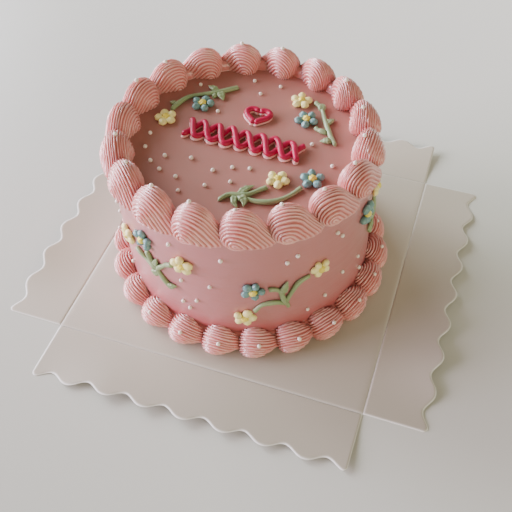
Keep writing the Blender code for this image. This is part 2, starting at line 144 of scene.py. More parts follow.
def bumpy(height, distance, strength):
    """The normal of a surface raised by a height from 0 to 1 over a distance in metres."""
    return height.node("Bump", None, {"Height": height, "Distance": distance, "Strength": strength})


def fade_towards(start, direction, span):
    """A value from 0 to 1 over a span of distances from the middle, measured in one direction."""
    place = object_place(start)
    run = place.node("VectorMath", {"operation": "DOT_PRODUCT"}, {0: place, 1: direction}, output=1)
    return run.node("MapRange", None, {"Value": run, "From Min": span[0], "From Max": span[1]})


def connect(value, socket):
    """Joins a link to a socket of the shader."""
    value.tree.links.new(value.socket, socket)


camera_lens = bpy.data.cameras.new("camera")
camera_lens.lens = FOCAL_LENGTH
camera_lens.sensor_width = SENSOR_WIDTH
camera = bpy.data.objects.new("camera", camera_lens)
camera.location = CAMERA_PLACE
look = (CAMERA_TARGET - CAMERA_PLACE).to_track_quat("-Z", "Y")
camera.rotation_mode = "QUATERNION"
camera.rotation_quaternion = look @ Quaternion((0, 0, 1), CAMERA_ROLL)
bpy.context.scene.collection.objects.link(camera)
bpy.context.scene.camera = camera

for name, place, size, watts, colour in LIGHTS:
    light = bpy.data.lights.new(name, "AREA")
    light.shape = "RECTANGLE"
    light.size, light.size_y = size
    light.energy = watts
    light.color = colour
    lamp = bpy.data.objects.new(name, light)
    lamp.location = place
    lamp.rotation_mode = "QUATERNION"
    lamp.rotation_quaternion = (-Vector(place)).to_track_quat("-Z", "Y")
    bpy.context.scene.collection.objects.link(lamp)

room = bpy.data.worlds.new("room")
room.use_nodes = True
room.node_tree.nodes["Background"].inputs["Color"].default_value = ROOM_COLOUR
room.node_tree.nodes["Background"].inputs["Strength"].default_value = ROOM_STRENGTH
bpy.context.scene.world = room

table_points = [(TABLE_HALF_WIDTH * x, TABLE_HALF_WIDTH * y, 0) for x, y in TABLE_CORNERS]
table_mesh = bpy.data.meshes.new("table")
table_mesh.from_pydata(table_points, [], [(0, 1, 2, 3)])
table = bpy.data.objects.new("table", table_mesh)
bpy.context.scene.collection.objects.link(table)
table_paint, table_inputs, start = new_material("table_top", {"Roughness": TABLE_ROUGHNESS})
# Painted light: the table top grows lighter towards the far right and darker towards the camera.
table_painted_light_share = fade_towards(start, TABLE_PAINTED_LIGHT_TOWARDS, TABLE_PAINTED_LIGHT_FADE)
connect(table_painted_light_share.mix(TABLE_NEAR_PAINTED_SHADE, TABLE_FAR_PAINTED_LIGHT), table_inputs["Base Color"])
table_mesh.materials.append(table_paint)


# The card: the unfolded liner of the cake's box, thin white card cut out with scalloped edges
# and creased where its four flaps fold up. The flaps' free edges stand a little off the table.
CARD_SIDE = 140 * MM
CARD_THICK = 0.5 * MM
FLAP_SIDES = ((0, "right"), (90, "back"), (180, "left"), (270, "front"))
FLAP_LENGTH = 26.8 * MM
NOTCHES = 8
NOTCH_DEPTH = 3.6 * MM
NOTCH_SHARPNESS = 1.15
NOTCH_SAMPLES = 20
CORNER_RADIUS = 2.6 * MM
CORNER_SAMPLES = 10
FLAP_LIFT = 2.4 * MM
LIFT_POWER = 1.5
LIFT_WAVE = 0.30
LIFT_WAVE_TURN = 5.1
FLAT_END = 0.25
CREASE_GAP = 0.3 * MM
VISIBLE_GAP = 0.05 * MM
CREASE_DEPTH = 0.22 * MM
CREASE_WIDTH = 0.38 * MM
# Creases and cut edges are painted paler: the pale fibre of a worn crease and the white core of a
# cut, with a painted highlight where they catch the window's light.
CREASE_WEAR_AND_HIGHLIGHT = 0.32
RIM_DEPTH = 0.3 * MM
RIM_WIDTH = 0.42 * MM
EDGE_BULGE = 0.3
EDGE_SHARES = (0.2, 0.5, 0.8)
SHEET_SAMPLES = 34
SQUARE_ROWS = 60
# Painted light and shade: the card is darker towards the front and lighter towards the back and the
# window, a painted fall-off of the window's light.
CARD_PAINTED_SHADE = (0.425, 0.385, 0.315)
CARD_PAINTED_LIGHT = (0.585, 0.535, 0.45)
CARD_WHITE_CORE_AND_HIGHLIGHT = (0.86, 0.85, 0.82)
CARD_ROUGHNESS = 0.62
CARD_SPECULAR = 0.35
CARD_PAINTED_LIGHT_TOWARDS = (-0.25, 0.97, 0.0)
CARD_PAINTED_LIGHT_FADE = (-0.09, 0.0)
MOTTLING = 0.2
FIBRE_SHARE = 0.35
FIBRE_SCALE = 900.0
FIBRE_DETAIL = 4.0
FIBRE_DEPTH = 0.03 * MM
FIBRE_STRENGTH = 0.5
MOTTLE_SCALE = 22.0
MOTTLE_DETAIL = 2.0


def triple(first, second, third):
    """The sum of the triple products of rows of vectors: six times a signed volume."""
    return float(np.sum(first * np.cross(second, third)))


def closed_mesh(name, grids, material, shades=None):
    """One object from grids of points. Each row of a grid is a closed loop, quads join
    neighbouring rows, and one face closes each end. A grid whose signed volume is below zero
    is inside out, so its faces are turned round. Shades are values from 0 to 1 at the points."""
    points = np.concatenate([grid.reshape(-1, 3) for grid in grids])
    faces = []
    start = 0
    for grid in grids:
        rows, columns = grid.shape[:2]
        index = np.arange(rows * columns).reshape(rows, columns)
        beside = np.roll(index, -1, axis=1)
        quads = np.stack([index[:-1], beside[:-1], beside[1:], index[1:]], axis=-1).reshape(-1, 4)
        ends = [index[0][::-1], index[-1]]
        local = grid.reshape(-1, 3) - grid.mean(axis=(0, 1))
        first, second, third, fourth = (local[quads[:, corner]] for corner in range(4))
        volume = triple(first, second, third) + triple(first, third, fourth)
        for end in ends:
            volume += triple(local[end[:1]], local[end[1:-1]], local[end[2:]])
        turn = 1 if volume > 0 else -1
        faces += (start + quads[:, ::turn]).tolist()
        faces += [(start + end[::turn]).tolist() for end in ends]
        start += rows * columns
    mesh = bpy.data.meshes.new(name)
    mesh.from_pydata(points, [], faces)
    mesh.polygons.foreach_set("use_smooth", np.ones(len(faces), dtype=bool))
    if shades is not None:
        values = np.concatenate([shade.ravel() for shade in shades]).astype(np.float32)
        mesh.attributes.new("shade", "FLOAT", "POINT").data.foreach_set("value", values)
    mesh.materials.append(material)
    piece = bpy.data.objects.new(name, mesh)
    bpy.context.scene.collection.objects.link(piece)
    return piece


def painted_shade(start):
    """The shades that closed_mesh keeps at the points, which are the third output of the node."""
    return start.node("Attribute", {"attribute_name": "shade"}, output=2)


def turned(along, across, angle):
    """Two lengths at a right angle, turned by an angle in their plane."""
    x = along * math.cos(angle) - across * math.sin(angle)
    y = along * math.sin(angle) + across * math.cos(angle)
    return x, y


def crease_dip(distance):
    """How far the card's face sinks beside a crease: a bell curve of the distance to it."""
    return CREASE_DEPTH * np.exp(-(distance / CREASE_WIDTH) ** 2)


def sheet_loop(inner, outer, level, dip, rim):
    """One closed loop round a thin sheet per row: the upper face from its inner to its outer
    edge, a rounded outer edge, and the lower face back. The faces follow a level, which the
    upper one leaves by a dip at the creases and at the rims, whose share is 1 at a cut edge.
    The third result is that share, with less of it along the creases: a painted highlight where cut
    edges and creases catch the light, over the white core of a cut and the pale fibre of a worn
    crease."""
    share = np.sin(np.linspace(-math.pi / 2, math.pi / 2, SHEET_SAMPLES)) / 2 + 0.5
    across = inner + (outer - inner) * share
    upper = level(across) - np.minimum(dip(across) + RIM_DEPTH * rim(across), RIM_DEPTH)
    lower = level(across) - CARD_THICK
    down = np.array([EDGE_SHARES])
    round_x = outer + EDGE_BULGE * CARD_THICK * np.sin(math.pi * down)
    round_z = upper[:, -1:] + (lower[:, -1:] - upper[:, -1:]) * down
    x = np.concatenate([across, round_x, across[:, ::-1]], axis=1)
    z = np.concatenate([upper, round_z, lower[:, ::-1]], axis=1)
    pale = np.minimum(rim(across) + CREASE_WEAR_AND_HIGHLIGHT * dip(across) / CREASE_DEPTH, 1)
    cut_and_highlight = np.concatenate([pale, 1 + 0 * round_x, 0 * across], axis=1)
    return x, z, cut_and_highlight


def flap_grid(degrees):
    """A flap: its length is a constant less a power of a raised cosine along the crease and less
    a quarter circle at its corners. It curls up with a power of the distance from the crease.
    The front and the back flap curl up towards their right end, and the two others in the
    middle, so that no two flaps meet at a corner when all are folded up."""
    corner_share = CORNER_RADIUS / CARD_SIDE
    middle = np.linspace(corner_share, 1 - corner_share, NOTCHES * NOTCH_SAMPLES + 1)
    corner = corner_share * (1 - np.cos(np.linspace(0, math.pi / 2, CORNER_SAMPLES)))[:-1]
    share = np.concatenate([corner, middle, 1 - corner[::-1]])[:, None]
    from_end = np.minimum(share, 1 - share)
    along = (share - 0.5) * CARD_SIDE
    notch = (0.5 - 0.5 * np.cos(2 * math.pi * NOTCHES * share)) ** NOTCH_SHARPNESS
    inwards = np.clip(CORNER_RADIUS - CARD_SIDE * from_end, 0, CORNER_RADIUS)
    rounding = CORNER_RADIUS - np.sqrt(CORNER_RADIUS ** 2 - inwards ** 2)
    length = FLAP_LENGTH - NOTCH_DEPTH * notch - rounding
    from_flat = {0: from_end, 90: 1 - share, 180: from_end, 270: share}[degrees]
    ramp = np.clip(from_flat / FLAT_END, 0, 1)
    lift = FLAP_LIFT * (1 + LIFT_WAVE * np.sin(LIFT_WAVE_TURN * share + degrees))
    lift = lift * ramp ** 2 * (3 - 2 * ramp)

    def level(across):
        """The flap's upper face before its dips."""
        return lift * (np.maximum(across, 0) / FLAP_LENGTH) ** LIFT_POWER

    def rim(across):
        """A bell curve of the distance to the nearest cut edge."""
        from_edge = np.minimum(length - across, CARD_SIDE / 2 - np.abs(along))
        return np.exp(-(from_edge / RIM_WIDTH) ** 2)

    across, rise, cut_and_highlight = sheet_loop(VISIBLE_GAP, length, level, crease_dip, rim)
    across = across + CARD_SIDE / 2 + CREASE_GAP / 2
    x, y = turned(across, along + 0 * across, math.radians(degrees))
    return np.stack([x, y, CARD_THICK + rise], axis=-1), cut_and_highlight


card_paint, card_inputs, start = new_material("white_card", {
    "Roughness": CARD_ROUGHNESS, "Specular IOR Level": CARD_SPECULAR,
})
fibres = noise(start, FIBRE_SCALE, FIBRE_DETAIL)
mottle = noise(start, MOTTLE_SCALE, MOTTLE_DETAIL)
mottle = fibres * FIBRE_SHARE + mottle * (1 - FIBRE_SHARE)
# Painted light and shade: a fade towards the back and the window, with the card's real mottling
# over it.
painted_light_and_mottle_share = fade_towards(start, CARD_PAINTED_LIGHT_TOWARDS, CARD_PAINTED_LIGHT_FADE) + mottle * MOTTLING - MOTTLING / 2
card_tone = painted_light_and_mottle_share.mix(CARD_PAINTED_SHADE, CARD_PAINTED_LIGHT)
# Painted highlight: cut edges and creases are paler, over the white core of the card.
connect(painted_shade(start).mix(card_tone, CARD_WHITE_CORE_AND_HIGHLIGHT), card_inputs["Base Color"])
connect(bumpy(fibres, FIBRE_DEPTH, FIBRE_STRENGTH), card_inputs["Normal"])

for degrees, side in FLAP_SIDES:
    grid, cut_and_highlight = flap_grid(degrees)
    flap = closed_mesh("flap_" + side, [grid], card_paint, [cut_and_highlight])
    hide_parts("card_flap_" + side)
    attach(flap, "flap_" + side)

half_side = CARD_SIDE / 2
square_rows = half_side * np.sin(np.linspace(-math.pi / 2, math.pi / 2, SQUARE_ROWS))[:, None]


def square_level(across):
    """The square lies flat on the table."""
    return CARD_THICK + 0 * across


def square_dip(across):
    """The square's upper face sinks beside each of its four sides."""
    return crease_dip(half_side - np.abs(across)) + crease_dip(half_side - np.abs(square_rows))


def square_rim(across):
    """The square has no cut edge: a flap follows on every side."""
    return 0 * across


square_end = half_side + 0 * square_rows
square_x, square_z, cut_and_highlight = sheet_loop(-half_side, square_end, square_level, square_dip, square_rim)
square_grid = np.stack([square_x, square_rows + 0 * square_x, square_z], axis=-1)
square = closed_mesh("card_square", [square_grid], card_paint, [cut_and_highlight])
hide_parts("card_base")
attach(square, "cake")


# The cake: sponge inside a coat of pink buttercream, scraped smooth with a palette knife, so
# that its side and top keep faint waves and streaks. It leans a little to the left.
CAKE_RADIUS = 56 * MM
CAKE_FOOT = CARD_THICK + 0.1 * MM
CAKE_TOP = 67.5 * MM
CAKE_CENTRE_X = -3.6 * MM
CAKE_CENTRE_Y = 1.0 * MM
CAKE_LEAN = -1.6 * MM
CAKE_EDGE = 2.5 * MM
SIDE_ROWS = 46
EDGE_ROWS = 8
TOP_ROWS = 40
LAST_RING_SHARE = 0.01
CAKE_COLUMNS = 288

# Each wave has the number of its crests round the cake and its share of the whole. The third
# number is its phase for the outline, and its slant up the side for the knife.
OUT_OF_ROUND = 0.3 * MM
OUTLINE_WAVES = ((2, 1.0, 0.6), (3, 0.6, 2.0))
KNIFE_MARKS = 0.10 * MM
KNIFE_WAVES = ((5, 1.0, 80), (11, 0.7, -55))
SIDE_MARK_SHARE = 0.8
TOP_MARK_SHARE = 0.6

PINK = (0.47, 0.182, 0.186)
PINK_PALE = (0.51, 0.210, 0.214)
# The top is painted darker than the side, a painted shade where less of the window's light falls.
# Near the foot a deeper pink is painted shade where the side meets the border.
TOP_PAINTED_SHADE_PINK = (0.397, 0.163, 0.132)
SHADE_PINK = (0.46, 0.105, 0.11)
GLOW = {
    "Subsurface Weight": 0.32, "Subsurface Radius": (1.0, 0.30, 0.26), "Subsurface Scale": 0.003,
}
UP = (0.0, 0.0, 1.0)
DOWN = (0.0, 0.0, -1.0)
TOP_FADE = (0.0655, 0.0675)
FOOT_FADE = (-0.0175, -0.0105)
FOOT_SHADE = 0.75
SIDE_COAT = 0.5
SIDE_COAT_ROUGHNESS = 0.28
SIDE_ROUGHNESS = 0.24
TOP_ROUGHNESS = 0.26
TINT_SCALE = 40.0
HOLE_SCALE = 1300.0
HOLE_SHARE = 0.12
STREAK_SCALE = 30.0
STREAK_STRETCH = (1.0, 1.0, 9.0)
STREAK_DEPTH = 0.55 * MM
STREAK_STRENGTH = 0.55
STREAK_ROUGHNESS = 0.14
ICING_DETAIL = 3.0


def centre_x(height):
    """The cake's middle at a height: it shifts sideways with the lean."""
    return CAKE_CENTRE_X + CAKE_LEAN * height / CAKE_TOP


def beside_cake(offset, height, angle):
    """Points round the cake at a distance from its side, a height and a direction. The side is
    a circle with two low waves in it."""
    waves = sum(share * np.sin(crests * angle + phase) for crests, share, phase in OUTLINE_WAVES)
    radius = CAKE_RADIUS + offset + OUT_OF_ROUND * waves
    x = centre_x(height) + radius * np.cos(angle)
    y = CAKE_CENTRE_Y + radius * np.sin(angle)
    return np.stack(np.broadcast_arrays(x, y, height), axis=-1)


side_rise = np.linspace(CAKE_FOOT, CAKE_TOP - CAKE_EDGE, SIDE_ROWS)
edge_turn = np.linspace(0, math.pi / 2, EDGE_ROWS)[1:]
ring_share = np.linspace(1, LAST_RING_SHARE, TOP_ROWS)[1:]
profile_offset = np.concatenate([
    0 * side_rise,
    CAKE_EDGE * (np.cos(edge_turn) - 1),
    (CAKE_RADIUS - CAKE_EDGE) * ring_share - CAKE_RADIUS,
])[:, None]
profile_height = np.concatenate([
    side_rise,
    CAKE_TOP - CAKE_EDGE + CAKE_EDGE * np.sin(edge_turn),
    CAKE_TOP + 0 * ring_share,
])[:, None]
cake_turn = np.linspace(0, 2 * math.pi, CAKE_COLUMNS, endpoint=False)
marks = KNIFE_MARKS * sum(
    share * np.sin(crests * cake_turn + slant * profile_height)
    for crests, share, slant in KNIFE_WAVES
)
marks = marks * np.minimum(1, SIDE_MARK_SHARE - profile_offset / CAKE_RADIUS)
is_top = profile_height >= CAKE_TOP
from_middle = 1 + profile_offset / CAKE_RADIUS
cake_grid = beside_cake(
    profile_offset + np.where(is_top, 0, marks),
    profile_height + np.where(is_top, TOP_MARK_SHARE * marks * from_middle, 0),
    cake_turn + 0 * profile_height,
)


def buttercream(name, colour, pale, constants):
    """Buttercream: clouds of a paler tint and tiny air holes. Returns the material, its inputs,
    the tint and the noise of the holes."""
    material, inputs, start = new_material(name, constants)
    tint = noise(start, TINT_SCALE, ICING_DETAIL).mix(colour, pale)
    holes = noise(start, HOLE_SCALE, ICING_DETAIL)
    return material, inputs, tint, holes


cake_paint, cake_inputs, tint, holes = buttercream("pink_icing", PINK, PINK_PALE, {
    **GLOW, "Coat Roughness": SIDE_COAT_ROUGHNESS,
})
streaks = noise(holes, STREAK_SCALE, ICING_DETAIL, STREAK_STRETCH)
top_share = fade_towards(holes, UP, TOP_FADE)
foot_share = fade_towards(holes, DOWN, FOOT_FADE)
# Painted shade: a darker pink over the top and a deeper pink near the foot.
tint = (foot_share * FOOT_SHADE).mix(top_share.mix(tint, TOP_PAINTED_SHADE_PINK), SHADE_PINK)
relief = bumpy(holes * HOLE_SHARE + streaks, STREAK_DEPTH, STREAK_STRENGTH)
roughness = streaks * STREAK_ROUGHNESS + top_share * TOP_ROUGHNESS + SIDE_ROUGHNESS
connect(tint, cake_inputs["Base Color"])
connect(SIDE_COAT - SIDE_COAT * top_share, cake_inputs["Coat Weight"])
connect(relief, cake_inputs["Normal"])
connect(roughness, cake_inputs["Roughness"])
cake = closed_mesh("iced_cake", [cake_grid], cake_paint)
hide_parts("cake_body")
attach(cake, "cake")


# The borders: shells of pink buttercream from a nozzle with many fine teeth, each head laid
# over the tail before it. Eighteen lie over a thin bead on the cake's edge, and twenty-three
# over a fillet in the corner between its side and the card.
BORDER_FLOOR = CARD_THICK + 0.05 * MM

# A shell's middle stands at an offset from the cake's side and a height. Head, middle and tail
# are its half lengths: to the head, beside the tail and at the tail. Rise and drop are its half
# heights. First angle, roll and yaw are in degrees. The pinch narrows the tail, which bends
# aside and droops, and both sides of the shell sag.
TOP_SHELL = {
    "count": 18, "first_angle": 8.5,
    "offset": -4.0 * MM, "height": CAKE_TOP + 3.6 * MM, "head": 8.6 * MM, "middle": 9.8 * MM,
    "tail": 15.6 * MM, "half_width": 7.0 * MM, "rise": 8.8 * MM, "drop": 6.4 * MM,
    "groove": 0.80 * MM, "ridges": 21, "roll": -6.0, "yaw": 7.0, "pinch": 0.10,
    "bend": 1.2 * MM, "droop": 3.4 * MM, "sag": 2.8 * MM,
    "floor": 0.0,
}
BOTTOM_SHELL = {
    "count": 23, "first_angle": 198.0,
    "offset": 3.3 * MM, "height": 5.5 * MM, "head": 7.7 * MM, "middle": 8.4 * MM,
    "tail": 12.6 * MM, "half_width": 7.2 * MM, "rise": 6.2 * MM, "drop": 5.2 * MM,
    "groove": 0.95 * MM, "ridges": 17, "roll": 42.0, "yaw": 2.0, "pinch": 0.40,
    "bend": -0.5 * MM, "droop": 1.4 * MM, "sag": 0.0,
    "floor": BORDER_FLOOR,
}
SWEEP = 1.3 * MM
TAIL_DIP = math.radians(12)
TAIL_SPREAD = math.radians(22)
PINCH_SPREAD = 0.74
PINCH_FADE = 2.2
GROOVE_FADE = 2.6
RIDGE_ROUNDNESS = 1.7
RIDGE_DRIFT = 0.14
RIDGE_SWAY = 0.15
RIDGE_WAVE = 0.14
HEAD_RAGS = 0.14
HEAD_CURL = 1.2
UNEVEN_RIDGE = 0.30
UNEVEN_SIZE = 0.04
UNEVEN_YAW = 5
UNEVEN_ROLL = 4
POLE_GAP = 0.03
RIDGE_SAMPLES = 5
BACK_DEGREES = (-42, 222)
BACK_SAMPLES = 40
UNDER_SAMPLES = 7

FILLET_WIDTH = 4.5 * MM
FILLET_HEIGHT = 7.5 * MM
FILLET_SINK = 0.5 * MM
FILLET_ROWS = 12
BEAD_OFFSET = -3.4 * MM
BEAD_HALF_WIDTH = 3.0 * MM
BEAD_HEIGHT = 5.4 * MM
BEAD_TILT = 1.2 * MM
BEAD_SINK = 1.5 * MM
BEAD_SHADE = 0.35
BEAD_ROWS = 20

# The grooves between the ridges, the fillet and the notches over the bead are painted a deeper
# pink: painted shade where little light reaches.
SHELL_PINK = (0.67, 0.30, 0.275)
SHELL_PALE = (0.84, 0.46, 0.44)
SHELL_GROOVE_PAINTED_SHADE = (0.56, 0.15, 0.135)
SHELL_COAT = {"Coat Weight": 0.7, "Coat Roughness": 0.18}
SHELL_HOLE_DEPTH = 0.25 * MM
SHELL_HOLE_STRENGTH = 0.6
SHELL_ROUGHNESS = 0.22
SHELL_UNEVEN_ROUGHNESS = 0.2
DEEP_SHADE = 0.14

UNEVEN_THINGS = [
    "shell size", "shell yaw", "shell roll", "pearl latitude", "pearl turn", "ridge height",
    "head curl", "pearl size", "petal turn", "petal size", "middle size", "petal reach",
    "petal height",
]
UNEVEN_STEP = 12.9898
UNEVEN_THING_STEP = 78.233


def uneven(index, thing):
    """A steady pseudo-random number from -1 to 1 for a number and a thing of the list: the sine
    of a large step for each."""
    place = UNEVEN_THINGS.index(thing)
    return np.sin(UNEVEN_STEP * (index + 1) + UNEVEN_THING_STEP * (place + 1))


def shell_points(kind, index, latitude, around):
    """A shell is a stretched ball whose poles lie at its two sides, longer towards the tail than
    towards the head. Lines of latitude are its ridges, which run from under the head over the
    crest to the tail: a cosine of latitude dents the grooves between them. Slow sines shift the
    ridges and vary their height, and their bare numbers only keep the shells from being alike.
    Round the tail's direction a bell curve of the turn draws the ball out, narrows it and bends
    it outwards and down.
    Returns the points, and how high on its ridge each one lies."""
    side = np.sin(latitude)
    reach = np.cos(latitude)
    dipped = around + TAIL_DIP
    off_tail = np.arctan2(np.sin(dipped), np.cos(dipped)) / TAIL_SPREAD
    pull = np.exp(-off_tail ** 2)
    pinch = kind["pinch"] * np.exp(-(PINCH_SPREAD * off_tail) ** 2)
    width = kind["half_width"] * (1 - pinch * np.minimum(1, PINCH_FADE * reach))

    head = np.maximum(-np.cos(around), 0)
    share = kind["ridges"] * (latitude / math.pi + 0.5)
    drift = RIDGE_DRIFT * np.sin(1.7 * share + 3 * index)
    sway = RIDGE_SWAY * np.sin(2.3 * around + 5 * index + 0.4 * share)
    curl = HEAD_CURL * uneven(index, "head curl") * head ** 2
    share = share + (drift + sway + curl) * reach
    number = np.floor(share)
    ridge = 1 - (0.5 + 0.5 * np.cos(2 * math.pi * share)) ** RIDGE_ROUNDNESS
    tall = 1 + UNEVEN_RIDGE * uneven(number + 31 * index, "ridge height")
    tall = tall + RIDGE_WAVE * np.sin(9 * around + 3 * number)
    tall = tall + HEAD_RAGS * head * np.sin(19 * around + 7 * number)
    dent = kind["groove"] * np.minimum(1, GROOVE_FADE * reach) * (tall * ridge - 1)

    long_way = np.where(np.cos(around) > 0, kind["middle"], kind["head"])
    long_way = long_way + (kind["tail"] - kind["middle"]) * pull
    tall_way = np.where(np.sin(around) > 0, kind["rise"], kind["drop"])
    along = (long_way + dent) * np.cos(around) * reach - SWEEP * side ** 2
    across = (width + dent) * side + kind["bend"] * pull * reach
    up = (tall_way + dent) * np.sin(around) * reach
    up = up - kind["droop"] * pull * reach - kind["sag"] * side ** 2

    size = 1 + UNEVEN_SIZE * uneven(index, "shell size")
    yaw = math.radians(kind["yaw"] + UNEVEN_YAW * uneven(index, "shell yaw"))
    roll = math.radians(kind["roll"] + UNEVEN_ROLL * uneven(index, "shell roll"))
    ahead, aside = turned(size * along, size * across, yaw)
    out, rise = turned(aside, size * up, -roll)
    height = np.maximum(kind["height"] + rise, kind["floor"])
    angle = math.radians(kind["first_angle"] + index * 360 / kind["count"])
    points = beside_cake(kind["offset"] + out, height, angle + ahead / CAKE_RADIUS)
    return points, ridge + 0 * height


def shell_ring(kind):
    """All shells of one border, each a grid of latitude against the turn round the poles. The
    turn is finer over the shell's back than under it."""
    latitude = np.linspace(-math.pi / 2, math.pi / 2, kind["ridges"] * RIDGE_SAMPLES + 1)
    latitude = np.clip(latitude, -math.pi / 2 + POLE_GAP, math.pi / 2 - POLE_GAP)[:, None]
    first, last = BACK_DEGREES
    back = np.linspace(math.radians(first), math.radians(last), BACK_SAMPLES)
    under = np.linspace(math.radians(last), math.radians(first + 360), UNDER_SAMPLES)[1:-1]
    turn = np.concatenate([back, under])[None, :]
    made = [shell_points(kind, index, latitude, turn) for index in range(kind["count"])]
    return [grid for grid, ridge in made], [ridge for grid, ridge in made]


shell_paint, shell_inputs, tint, holes = buttercream("shell_icing", SHELL_PINK, SHELL_PALE, {
    **GLOW, **SHELL_COAT,
})
ridge_height = painted_shade(holes)
# Painted shade: the deeper pink fills the grooves and fades out towards the crests.
unshaded_share = ridge_height.node("MapRange", None, {"Value": ridge_height, "From Min": DEEP_SHADE})
connect(unshaded_share.mix(SHELL_GROOVE_PAINTED_SHADE, tint), shell_inputs["Base Color"])
connect(bumpy(holes, SHELL_HOLE_DEPTH, SHELL_HOLE_STRENGTH), shell_inputs["Normal"])
connect(holes * SHELL_UNEVEN_ROUGHNESS + SHELL_ROUGHNESS, shell_inputs["Roughness"])

grids, ridges = shell_ring(BOTTOM_SHELL)
fillet_turn = np.linspace(0, math.pi / 2, FILLET_ROWS)[:, None]
fillet = beside_cake(
    FILLET_WIDTH * np.cos(fillet_turn) - FILLET_SINK,
    BORDER_FLOOR + FILLET_HEIGHT * np.sin(fillet_turn),
    cake_turn,
)
grids.append(fillet)
# The fillet is painted in full groove shade, a painted shade in the corner.
ridges.append(np.zeros(fillet.shape[:2]))
foot_shells = closed_mesh("foot_shells", grids, shell_paint, ridges)
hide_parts("bottom_border")
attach(foot_shells, "cake")

grids, ridges = shell_ring(TOP_SHELL)
bead_turn = np.linspace(0, math.pi, BEAD_ROWS)[:, None]
bead = beside_cake(
    BEAD_OFFSET + BEAD_HALF_WIDTH * np.cos(bead_turn),
    CAKE_TOP - BEAD_SINK - BEAD_TILT * np.cos(bead_turn) + BEAD_HEIGHT * np.sin(bead_turn),
    cake_turn,
)
grids.append(bead)
# The bead is painted partly in groove shade, a painted shade in the notches between the shells.
ridges.append(BEAD_SHADE + np.zeros(bead.shape[:2]))
edge_shells = closed_mesh("edge_shells", grids, shell_paint, ridges)
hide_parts("top_border")
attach(edge_shells, "cake")


# The pearls: white sugar balls with a polished coat, pressed by hand into the soft icing of
# the top, the side and most of the shells.
PEARL_RADIUS = 0.9 * MM
PEARL_LIFT = 0.5 * MM
PEARL_ROWS = 10
PEARL_COLUMNS = 18
PEARL_POLE_GAP = 0.06
UNEVEN_PEARL = 0.06
TOP_BARE_SHELLS = [3, 6, 9]
BOTTOM_BARE_SHELLS = [1, 2, 13, 15, 17, 19, 21]
SHELL_PEARL_TURN = 92
UNEVEN_PEARL_TURN = 12
UNEVEN_PEARL_LATITUDE = 16

# Places on the top are in millimetres from its middle. Those on the side are a direction in
# degrees and a height in millimetres. What the side carries is repeated round the back, where
# it has only every third pearl.
TOP_PEARLS = [
    (-8.5, 40), (4, 39.5), (-3, 32), (-31, 30), (-17, 15), (-39.5, -7), (-38, -15.5), (-28, -18),
    (-32.5, -22.5), (-27, -26), (-17, -16), (-19, -28), (-6, -20), (1, -16), (8, -14.5), (-6, -29),
    (3, -24), (-15, -35), (28, 7), (39.5, -3),
]
SIDE_PEARLS = [
    (-102, 59), (-80, 57), (-49, 55.5), (-53.5, 53), (-30, 58), (-27, 54), (-25, 29), (-35, 21),
    (-13, 28), (-44, 17), (-99, 38), (-86, 39), (-93, 27), (-100, 23), (-97, 20), (-138, 17),
    (-141, 57), (-145, 49), (-140, 31), (-150, 38), (-10, 17),
]
SIDE_REPEATS = [(0.0, 1), (172.0, 3)]

PEARL_WHITE = (0.88, 0.78, 0.69)
PEARL_GREY_SHARE = 0.92
PEARL_COAT = {"Coat Weight": 0.5, "Coat Roughness": 0.12}
PEARL_ROUGHNESS = 0.2
UNEVEN_PEARL_ROUGHNESS = 0.15
SUGAR_SCALE = 700.0
SUGAR_DETAIL = 2.0


def ball(centre, radius):
    """A ball as rings from pole to pole."""
    down = np.linspace(PEARL_POLE_GAP, math.pi - PEARL_POLE_GAP, PEARL_ROWS)[:, None]
    turn = np.linspace(0, 2 * math.pi, PEARL_COLUMNS, endpoint=False)[None, :]
    x = np.sin(down) * np.cos(turn)
    y = np.sin(down) * np.sin(turn)
    return np.asarray(centre) + radius * np.stack(np.broadcast_arrays(x, y, np.cos(down)), axis=-1)


def on_top(x, y, lift):
    """Points on the cake's top, measured from its middle."""
    place = np.broadcast_arrays(centre_x(CAKE_TOP) + x, CAKE_CENTRE_Y + y, CAKE_TOP + lift)
    return np.stack(place, axis=-1)


def on_side(degrees):
    """A function that wraps flat places round the side: along it from a direction, and up."""
    def place(along, height, lift):
        return beside_cake(lift, height, math.radians(degrees) + along / CAKE_RADIUS)
    return place


def shell_pearls(kind, bare):
    """A place near the crest of each shell that isn't bare."""
    places = []
    for index in range(kind["count"]):
        if index not in bare:
            latitude = UNEVEN_PEARL_LATITUDE * uneven(index, "pearl latitude")
            turn = SHELL_PEARL_TURN + UNEVEN_PEARL_TURN * uneven(index, "pearl turn")
            point, ridge = shell_points(kind, index, np.radians(latitude), np.radians(turn))
            places.append(point + (0, 0, PEARL_LIFT))
    return places


centres = [on_top(x * MM, y * MM, PEARL_LIFT) for x, y in TOP_PEARLS]
for degrees, step in SIDE_REPEATS:
    for turn, height in SIDE_PEARLS[::step]:
        centres.append(on_side(degrees + turn)(0.0, height * MM, PEARL_LIFT))
centres += shell_pearls(TOP_SHELL, TOP_BARE_SHELLS)
centres += shell_pearls(BOTTOM_SHELL, BOTTOM_BARE_SHELLS)
balls = []
for number, centre in enumerate(centres):
    balls.append(ball(centre, PEARL_RADIUS * (1 + UNEVEN_PEARL * uneven(number, "pearl size"))))
pearl_paint, pearl_inputs, start = new_material("white_pearl", PEARL_COAT)
sugar = noise(start, SUGAR_SCALE, SUGAR_DETAIL)
pearl_grey = tuple(PEARL_GREY_SHARE * value for value in PEARL_WHITE)
connect(sugar.mix(PEARL_WHITE, pearl_grey), pearl_inputs["Base Color"])
connect(sugar * UNEVEN_PEARL_ROUGHNESS + PEARL_ROUGHNESS, pearl_inputs["Roughness"])
pearls = closed_mesh("sugar_pearls", balls, pearl_paint)
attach(pearls, "cake")


